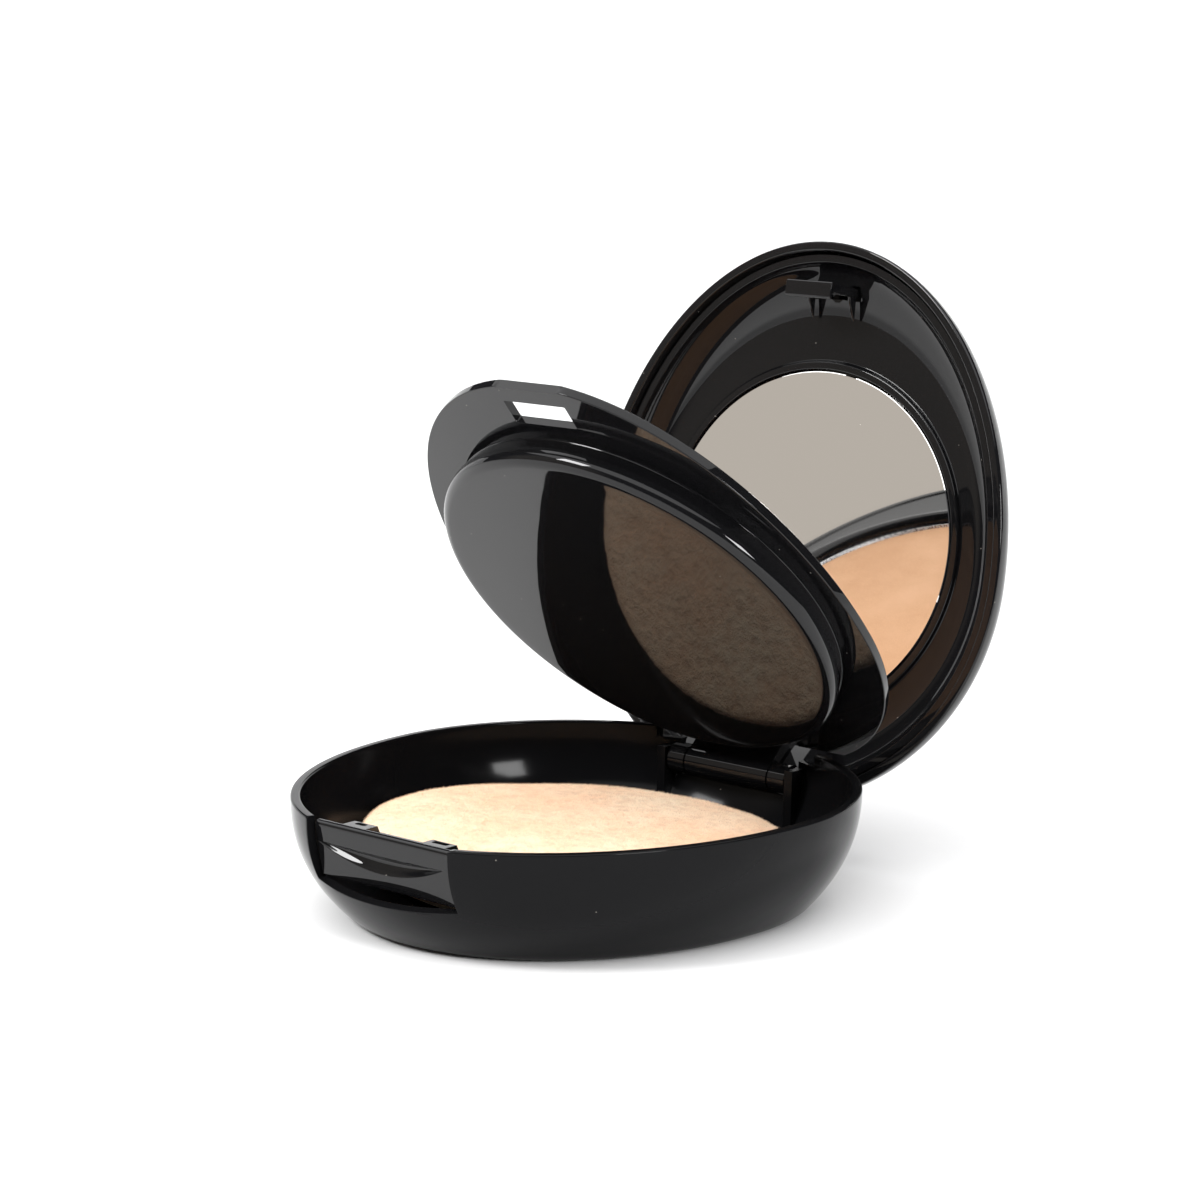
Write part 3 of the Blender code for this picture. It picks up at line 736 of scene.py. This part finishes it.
def makeLidLining(form):
    topInner = lidRim + form["height"] - form["wall"] - 0.3
    seatFloor = form["mirrorUnder"] + form["mirrorThickness"] + 0.48
    seatRadius, sy = form["mirrorRadius"] + 0.3, form["seatY"]
    count, inset, under = outline["segments"], form["inset"], form["under"]
    rings = [eggRing(topInner, 0.3), eggRing(topInner, lidScale(form["height"] - 1), inset + 1.8)]
    rings += [eggRing(z, lidScale(z - lidRim), inset) for z in np.linspace(topInner - 1, under + 0.1, 10)]
    rings += [eggRing(under, 1, inset + 0.1), eggRing(under, 1, inset + form["land"] - 0.12)]
    land = eggRing(under, 1, inset + form["land"])
    rings.append(land + (0, 0, 0.05))
    seat = roundRing(under, form["mirrorRadius"] + 3.2, sy, count)
    for turn in np.radians(np.linspace(6, 90, 26)):
        share, climb = 1 - math.cos(turn), math.sin(turn) * (form["ceiling"] - under)
        ring = land + (seat - land) * share
        ring[:, 2] += climb
        rings.append(ring)
    lipUnder = form["mirrorUnder"] - 0.2
    lip = [(form["ceiling"], 1.6), (form["ceiling"] - 0.06, 1.42), (lipUnder + 0.35, 1.28)]
    lip += [(lipUnder + 0.12, 1.2), (lipUnder, 1.0), (lipUnder, 0.22), (lipUnder + 0.08, 0.05)]
    lip += [(lipUnder + 0.25, 0), (seatFloor, 0), (seatFloor, 4 - seatRadius)]
    rings += roundRings([(z, seatRadius + extra) for z, extra in lip], sy, count)
    item = makePiece("lid_frame", skin(rings), lidOpening)
    low = [-form["hookHalf"] - 0.3, form["hookFront"] - 0.3, 0]
    high = [form["hookHalf"] + 0.3, form["hookFront"] + form["hookThickness"] + 0.3, topInner - 0.9]
    carve(item, [roundedBox(low, high, 0.2)], lidOpening)
    arm = [(-1.9, 1.1), (-3.7, 2.7), (-5.0, 4.0), (-5.2, 4.4), (-5.2, 10.6), (-2.6, 10.6)]
    arm += [(-1.6, 7.2), (1.3, 1.6)]
    arm = [(pinY + y, pinZ + z) for y, z in arm]
    near, far, knuckle = form["armLow"], form["armHigh"], form["knuckle"]
    solids = pair(lambda a, b: prism(arm, a, b), near, far) + pair(lambda a, b: rod(knuckle, a, b), near, far)
    carve(item, solids, lidOpening, "UNION")
    carve(item, pair(lambda a, b: rod(boreRadius, a, b), near - 0.1, far + 0.1), lidOpening)
    roundEdges(item, 0.12, angle=50)
    weigh(item)
    return dress(item, caseBlack, "lid", ["lid_lining"])


def makeLidCatch(form):
    front, tip = form["hookFront"], form["hookTip"]
    back = front + form["hookThickness"]
    point = back + form["hookLip"]
    root = shellForm["height"] + 6.6
    plate = [(front, root), (front, tip + 0.15), (front + 0.15, tip), (point - 0.3, tip)]
    plate += [(point, tip + 0.3), (point, tip + 0.48), (back, tip + 0.8), (back, root)]
    item = makePiece("catch_hook", prism(plate, -form["hookHalf"], form["hookHalf"]), lidOpening)
    height = shellForm["height"]
    rib = [(back - 0.3, height + 2.4), (back + 0.9, height + 2.5), (back + 1.7, height + 3.1)]
    rib += [(back + 3.4, height + 4.3), (back - 0.3, height + 3.9)]
    carve(item, pair(lambda a, b: prism(rib, a, b), 3.4, 3.9), lidOpening, "UNION")
    roundEdges(item, 0.1)
    weigh(item)
    return dress(item, caseBlack, "lid", ["lid_catch"])


makeLidShell(lidForm)
makeLidLining(lidForm)
makeLidCatch(lidForm)
print("lid ready")


mirrorSetup = {
    "bevel": 0.12,
    "colour": (0.93, 0.92, 0.90),
    "dust": (0.8, 0.76, 0.7),
    "roughness": 0.012,
}


def makeMirror(setup, form):
    material, tree, shader = newMaterial("mirror_silver", Metallic=1.0)
    space = objectSpace(tree)
    dust = specks(tree, space, 420, 0.035, 0.10)
    tree.links.new(blendColours(tree, dust, setup["colour"], setup["dust"]), shader.inputs["Base Color"])
    film = noise(tree, space, 40, 3).outputs["Fac"]
    rough = remap(tree, film, 0.4, 0.75, setup["roughness"], setup["roughness"] + 0.03)
    rough = addNode(tree, "Math", {0: dust, 1: 0.4, 2: rough}, operation="MULTIPLY_ADD").outputs[0]
    tree.links.new(rough, shader.inputs["Roughness"])
    low, radius, cy = form["mirrorUnder"], form["mirrorRadius"], form["seatY"]
    top = low + form["mirrorThickness"]
    bevel = setup["bevel"]
    rings = [roundRing(low, r, cy) for r in (5, 15, radius - bevel)]
    rings += [roundRing(low + bevel * 0.5, radius, cy), roundRing(top, radius, cy)]
    item = makePiece("mirror_disc", skin(rings), lidOpening)
    smooth(item, 20)
    return dress(item, material, "lid", ["mirror_glass"])


makeMirror(mirrorSetup, lidForm)
print("mirror ready")


panForm = {"radius": 29.5, "wall": 0.35, "under": 12.94, "rim": 16.3}
powderLook = {
    "light": (0.75, 0.43, 0.235),
    "deep": (0.64, 0.34, 0.165),
    "grain": 5200,
}


def powderFinish(look):
    values = {"Roughness": 0.86, "Sheen_Weight": 0.25, "Sheen_Roughness": 0.5}
    material, tree, shader = newMaterial("pressed_powder_tan", **values)
    space = objectSpace(tree)
    broad = noise(tree, space, 90, 4, 0.6).outputs["Fac"]
    fine = noise(tree, space, look["grain"], 3, 0.7).outputs["Fac"]
    shade = blendColours(tree, remap(tree, broad, 0.3, 0.7, 0, 1), look["deep"], look["light"])
    pale = tuple(min(1, c * 1.15) for c in look["light"])
    shade = blendColours(tree, remap(tree, fine, 0.45, 0.75, 0, 0.5), shade, pale)
    tree.links.new(shade, shader.inputs["Base Color"])
    normal = bump(tree, fine, 0.35, 0.00006)
    inputs = {"Vector": space, "Scale": 160, "Distortion": 6, "Detail": 2, "Detail Scale": 2}
    strokes = addNode(tree, "TexWave", inputs, wave_type="RINGS", rings_direction="X")
    tree.links.new(bump(tree, strokes.outputs["Fac"], 0.08, 0.0001, normal), shader.inputs["Normal"])
    return material


def makePan(form, tray):
    material, tree, shader = newMaterial("spun_aluminium", Metallic=1.0)
    space = objectSpace(tree)
    lines = noise(tree, space, 2400, 2).outputs["Fac"]
    shade = blendColours(tree, lines, (0.55, 0.55, 0.57), (0.74, 0.74, 0.75))
    tree.links.new(shade, shader.inputs["Base Color"])
    tree.links.new(remap(tree, lines, 0.3, 0.7, 0.2, 0.36), shader.inputs["Roughness"])
    under, rim, radius, wall = form["under"], form["rim"], form["radius"], form["wall"]
    inner = radius - wall
    rows = [(under, 4), (under, radius - 0.8), (under + 0.1, radius - 0.35), (under + 0.3, radius - 0.08)]
    rows += [(under + 0.6, radius), (rim - 0.12, radius), (rim - 0.03, radius - 0.08)]
    rows += [(rim, radius - wall / 2), (rim - 0.03, inner + 0.08), (rim - 0.12, inner), (under + 0.7, inner)]
    rows += [(under + wall, inner - 0.4), (under + wall, 4)]
    item = makePiece("powder_godet", skin(roundRings(rows, tray["cupY"])), trayOpening)
    smooth(item, 50)
    return dress(item, material, "tray", ["powder_pan"])


def makePowder(form, tray):
    low = form["under"] + form["wall"] + 0.12
    inner = form["radius"] - form["wall"] - 0.1
    rim = form["rim"]
    rows = [(low, inner - 0.5), (low + 0.5, inner), (rim - 0.75, inner)]
    for a in np.radians((20, 50, 80)):
        rows.append((rim - 0.5 + 0.12 * math.sin(a), inner - 0.25 + 0.25 * math.cos(a)))
    rows += [(rim - 0.36 + 0.24 * (1 - (r / 28) ** 2), r) for r in np.linspace(28, 0.4, 40)]
    item = makePiece("powder_cake", skin(roundRings(rows, tray["cupY"])), trayOpening)
    smooth(item, 60)
    return dress(item, powderFinish(powderLook), "tray", ["pressed_powder"])


makePan(panForm, trayForm)
makePowder(panForm, trayForm)
print("powder ready")


puffForm = {
    "centreY": 1.3,
    "halfWidth": 30.8,
    "halfLength": 29.4,
    "under": 1.75,
    "top": 10.05,
    "ceiling": 11.05,  # highest the pad may reach under the closed tray
    "crown": 0.45,
    "tilt": 0.036,  # fall of the top towards the hinge, mm per mm
    "floor": 1.5,
    "clothScale": 10.0,  # the cloth is solved at this many times its size
    "voxel": 1.1,
    "pressure": 4.0,
    "frames": 20,
    "swell": 0.25,  # mm that the pressed fabric may move
    "napLength": 0.34,
    "napDensity": 15.0,  # fibres per square millimetre
    "napSeed": 7,
}
puffLook = {
    "light": (0.99, 0.80, 0.59),
    "warm": (0.97, 0.63, 0.41),
    "grain": 620,
}


def velourFinish(look):
    values = {"Roughness": 0.9, "Sheen_Weight": 0.25, "Sheen_Roughness": 0.35}
    values["Sheen_Tint"] = (1.0, 0.93, 0.84)
    material, tree, shader = newMaterial("puff_velour_ivory", **values)
    space = objectSpace(tree)
    patches = noise(tree, space, 70, 4, 0.6).outputs["Fac"]
    clumps = noise(tree, space, look["grain"], 3, 0.6).outputs["Fac"]
    nap = noise(tree, space, 2600, 3, 0.7).outputs["Fac"]
    shade = blendColours(tree, remap(tree, patches, 0.3, 0.7, 0, 1), look["warm"], look["light"])
    dark = tuple(c * 0.74 for c in look["warm"])
    shade = blendColours(tree, remap(tree, clumps, 0.55, 0.3, 0, 0.55), shade, dark)
    shade = blendColours(tree, remap(tree, nap, 0.5, 0.25, 0, 0.4), shade, dark)
    tree.links.new(shade, shader.inputs["Base Color"])
    coarse = bump(tree, clumps, 0.7, 0.0009)
    tree.links.new(bump(tree, nap, 0.5, 0.0002, coarse), shader.inputs["Normal"])
    return material


def puffProfile(form):
    low, top, crown = form["under"], form["top"], form["crown"]
    mid = (low + top) / 2
    points = [(low, 24), (low, 16), (low, 9), (low + 0.1, 7.4), (low + 0.4, 6.0), (low + 0.9, 4.6)]
    points += [(low + 1.5, 3.4), (low + 2.2, 2.4), (mid - 0.9, 1.4), (mid - 0.5, 1.0), (mid - 0.15, 0.75)]
    points += [(mid, 0.9), (mid + 0.15, 0.72), (mid + 0.6, 0.5), (mid + 1.2, 0.35), (mid + 1.9, 0.2)]
    points += [(top - 1.4, 0.16), (top - 1.1, 0.24), (top - 0.8, 0.42), (top - 0.5, 0.74), (top - 0.28, 1.15)]
    points += [(top - 0.12, 1.7), (top, 2.6)]
    for share, inset in ((0.2, 4.5), (0.4, 8), (0.6, 11), (0.8, 15), (0.93, 19), (1.0, 23), (1.0, 27)):
        points.append((top + crown * share, inset))
    return points


def tiltRing(ring, z, form):
    share = (z - form["floor"]) / (form["top"] - form["floor"])
    return [(x, y, height - form["tilt"] * share * (y - form["centreY"])) for x, y, height in ring]


def readPoints(mesh):
    flat = np.zeros(len(mesh.vertices) * 3)
    mesh.vertices.foreach_get("co", flat)
    return flat.reshape(-1, 3)


def writePoints(mesh, points):
    mesh.vertices.foreach_set("co", np.ascontiguousarray(points, float).ravel())
    mesh.update()


def swellCloth(item, form):  # every point stays near its start
    scale = form["clothScale"]
    writePoints(item.data, readPoints(item.data) * scale)
    remesh = item.modifiers.new("voxels", "REMESH")
    remesh.mode, remesh.voxel_size = "VOXEL", form["voxel"] * scale / 1000
    settle(item)
    start = readPoints(item.data)
    cloth = item.modifiers.new("cloth", "CLOTH")
    cloth.settings.quality = 5
    cloth.settings.mass = 0.3
    cloth.settings.use_pressure = True
    cloth.settings.uniform_pressure_force = form["pressure"]
    cloth.settings.effector_weights.gravity = 0
    cloth.point_cache.frame_start, cloth.point_cache.frame_end = 1, form["frames"]
    for frameNumber in range(1, form["frames"] + 1):
        bpy.context.scene.frame_set(frameNumber)
    settle(item)
    bpy.context.scene.frame_set(1)
    moved = readPoints(item.data) - start
    length = np.linalg.norm(moved, axis=1, keepdims=True)
    limit = form["swell"] * scale / 1000
    free = np.clip((start[:, 2:3] * 1000 / scale - 3.0) / 3.0, 0, 1)
    moved *= free * np.minimum(1, limit / np.maximum(length, 1e-9))
    writePoints(item.data, (start + moved) / scale)
    return item


def makePuff(form):
    rings = []
    for z, inset in puffProfile(form):
        ring = ovalRing(z, form["halfWidth"] - inset, form["halfLength"] - inset, form["centreY"], 180)
        rings.append(tiltRing(ring, z, form))
    item = makePiece("puff_pad", skin(rings))
    swellCloth(item, form)
    modifier = item.modifiers.new("rounding", "SUBSURF")
    modifier.levels = modifier.render_levels = 1
    settle(item)
    points = readPoints(item.data) * 1000
    share = np.clip((points[:, 2] - form["under"] - 3) / 5, 0, 1)
    broad = 0.10 * np.sin(points[:, 0] * 0.21 + 0.6) * np.cos(points[:, 1] * 0.17 - 0.4)
    points[:, 2] += share * (broad + 0.05 * np.sin(points[:, 0] * 0.53 - points[:, 1] * 0.41))
    points[:, 2] = np.minimum(points[:, 2], form["ceiling"])
    writePoints(item.data, points / 1000)
    smooth(item, 180)
    return item


def napTree(form, material):
    tree = bpy.data.node_groups.new("nap", "GeometryNodeTree")
    tree.interface.new_socket("Geometry", in_out="INPUT", socket_type="NodeSocketGeometry")
    for name, value in (("Density", form["napDensity"] * 1e6), ("Length", form["napLength"] / 1000)):
        tree.interface.new_socket(name, in_out="INPUT", socket_type="NodeSocketFloat").default_value = value
    tree.interface.new_socket("Geometry", in_out="OUTPUT", socket_type="NodeSocketGeometry")

    def add(kind, inputs=None, **settings):
        node = tree.nodes.new(kind)
        for key, value in settings.items():
            setattr(node, key, value)
        for key, value in (inputs or {}).items():
            if isinstance(value, bpy.types.NodeSocket):
                tree.links.new(value, node.inputs[key])
            else:
                node.inputs[key].default_value = value
        return node

    source, seed = add("NodeGroupInput").outputs, form["napSeed"]
    position = add("GeometryNodeInputPosition").outputs[0]
    height = add("ShaderNodeSeparateXYZ", {0: position}).outputs["Z"]
    shown = add("ShaderNodeMath", {0: height, 1: 0.0055}, operation="GREATER_THAN").outputs[0]
    inputs = {"Mesh": source["Geometry"], "Selection": shown, "Density": source["Density"], "Seed": seed}
    scatter = add("GeometryNodeDistributePointsOnFaces", inputs).outputs
    inputs = {"Vertices": 3, "Radius Bottom": 0.000028, "Radius Top": 0.0, "Depth": source["Length"]}
    fibre = add("GeometryNodeMeshCone", inputs, fill_type="NONE").outputs["Mesh"]
    inputs = {0: (-0.5, -0.5, -3.14), 1: (0.5, 0.5, 3.14), "Seed": seed + 1}
    tilt = add("FunctionNodeRandomValue", inputs, data_type="FLOAT_VECTOR").outputs["Value"]
    inputs = {"Rotation": scatter["Rotation"], "Rotate By": tilt}
    turned = add("FunctionNodeRotateRotation", inputs, rotation_space="LOCAL").outputs["Rotation"]
    inputs = {"Min": 0.5, "Max": 1.0, "Seed": seed + 2}
    size = add("FunctionNodeRandomValue", inputs, data_type="FLOAT")
    grow = next(socket for socket in size.outputs if socket.enabled and socket.type == "VALUE")
    inputs = {"Points": scatter["Points"], "Instance": fibre, "Rotation": turned, "Scale": grow}
    fibres = add("GeometryNodeInstanceOnPoints", inputs).outputs["Instances"]
    real = add("GeometryNodeRealizeInstances", {"Geometry": fibres}).outputs["Geometry"]
    painted = add("GeometryNodeSetMaterial", {"Geometry": real, "Material": material}).outputs["Geometry"]
    tree.links.new(painted, add("NodeGroupOutput").inputs[0])
    return tree


def makeNap(pad, form, material):
    item = newObject("puff_nap", pad.data.copy())
    modifier = item.modifiers.new("nap", "NODES")
    modifier.node_group = napTree(form, material)
    return settle(item)


velour = velourFinish(puffLook)
puff = makePuff(puffForm)
nap = makeNap(puff, puffForm, velour)
dress(puff, velour, "base", ["puff_face", "puff_back"])
dress(nap, velour, "base")
print("puff ready")


def repaint(name, material):
    node = frame["nodes"][name]
    node.data.materials.clear()
    node.data.materials.append(material)


repaint("hinge_pin", bracketSteel)
repaint("button_spring", bracketSteel)
repaint("puff_core", foamFinish("open_foam", (0.70, 0.64, 0.52), (0.86, 0.80, 0.68), 1400))
glue = foamFinish("dry_adhesive", (0.62, 0.58, 0.46), (0.72, 0.69, 0.58), 500)
repaint("pan_adhesive", glue)
repaint("mirror_adhesive", glue)
print("inner pieces painted")


stageSetup = {
    "floorColour": (0.93, 0.93, 0.93),
    "floorRadius": 9.0,
    "sweepFrom": 62,  # degrees round from +X, behind the case
    "sweepTo": 196,
    "sweepHeight": 2.6,
    # painted light: glow strength at the top of the sweep, standing in for sky light its rising part does not
    # get
    "sweepPaintedLight": 0.55,
    "fill": (0.055, 0.055, 0.06),
    "card": (0.50, 0.46, 0.415),  # grey wall that the mirror shows
    "cardTowards": (-0.577, -0.794, 0.19),
    "skyEnergy": 4.1,
    "skyAngle": 100,
    "skyLean": 8,  # degrees that the sky light leans to the front
}


def makeFloor(setup):
    material, tree, shader = newMaterial("paper_sweep", Roughness=0.7, Specular_IOR_Level=0.1)
    fibres = noise(tree, objectSpace(tree), 300, 3).outputs["Fac"]
    pale = setup["floorColour"]
    shade = blendColours(tree, fibres, tuple(c * 0.985 for c in pale), pale)
    tree.links.new(shade, shader.inputs["Base Color"])
    # Painted light: emission grows with height, so the rising back of the sweep glows as bright as the lit
    # floor.
    height = addNode(tree, "SeparateXYZ", {0: objectSpace(tree)}).outputs["Z"]
    shader.inputs["Emission Color"].default_value = (1, 1, 1, 1)
    tree.links.new(remap(tree, height, 0.0, 0.4, 0, setup["sweepPaintedLight"]), shader.inputs["Emission Strength"])
    radius, rows = setup["floorRadius"], []
    curve = radius * 0.12
    bm = bmesh.new()
    for turn in np.arange(0, 360, 2.0):
        share = max(0, min(1, (turn - setup["sweepFrom"]) / 12, (setup["sweepTo"] - turn) / 12))
        share = share * share * (3 - 2 * share)
        profile = [(0.5, 0.0), (radius * 0.5, 0.0), (radius - curve, 0.0)]
        for a in np.radians(np.linspace(15, 90, 6)):
            profile.append((radius - curve + curve * math.sin(a), share * curve * (1 - math.cos(a))))
        profile.append((radius, share * setup["sweepHeight"]))
        across, along = math.cos(math.radians(turn)), math.sin(math.radians(turn))
        rows.append([bm.verts.new((r * across, r * along, z)) for r, z in profile])
    for k, near in enumerate(rows):
        far = rows[(k + 1) % len(rows)]
        for m in range(len(near) - 1):
            bm.faces.new((near[m], near[m + 1], far[m + 1], far[m]))
    bm.faces.new([row[0] for row in rows])
    mesh = bpy.data.meshes.new("floor")
    bm.to_mesh(mesh)
    bm.free()
    floor = newObject("floor", mesh)
    floor.data.shade_smooth()
    floor.data.materials.append(material)


lightBoxes = {
    "left_box": {"azimuth": -117, "elevation": 38, "distance": 0.9, "size": (0.24, 0.26), "power": 5.5},
    "right_box": {"azimuth": -9, "elevation": 19, "distance": 0.9, "size": (0.24, 0.2), "power": 4.2},
}


def makeLights(setup, boxes):
    world = bpy.data.worlds.new("studio")
    bpy.context.scene.world = world
    world.use_nodes = True
    tree = world.node_tree
    towards = addNode(tree, "TexCoord").outputs["Generated"]
    inputs = {0: towards, 1: setup["cardTowards"]}
    facing = addNode(tree, "VectorMath", inputs, operation="DOT_PRODUCT").outputs["Value"]
    shade = blendColours(tree, remap(tree, facing, 0.86, 0.955, 0, 1), setup["fill"], setup["card"])
    tree.links.new(shade, tree.nodes["Background"].inputs["Color"])
    data = bpy.data.lights.new("broad_sky", "SUN")
    data.energy, data.angle = setup["skyEnergy"], math.radians(setup["skyAngle"])
    sky = bpy.data.objects.new("broad_sky", data)
    sky.rotation_euler = (math.radians(setup["skyLean"]), 0, 0)
    bpy.context.scene.collection.objects.link(sky)
    for name, values in boxes.items():
        azimuth, elevation = math.radians(values["azimuth"]), math.radians(values["elevation"])
        level = math.cos(elevation)
        towards = Vector((math.cos(azimuth) * level, math.sin(azimuth) * level, math.sin(elevation)))
        data = bpy.data.lights.new(name, "AREA")
        data.shape = "RECTANGLE"
        data.size, data.size_y = values["size"]
        data.energy = values["power"]
        light = bpy.data.objects.new(name, data)
        bpy.context.scene.collection.objects.link(light)
        light.location = Vector((0, 0.01, 0.04)) + towards * values["distance"]
        light.rotation_euler = towards.to_track_quat("Z", "Y").to_euler()


makeFloor(stageSetup)
makeLights(stageSetup, lightBoxes)
bpy.context.scene.view_settings.view_transform = "Standard"
print("floor and light ready")
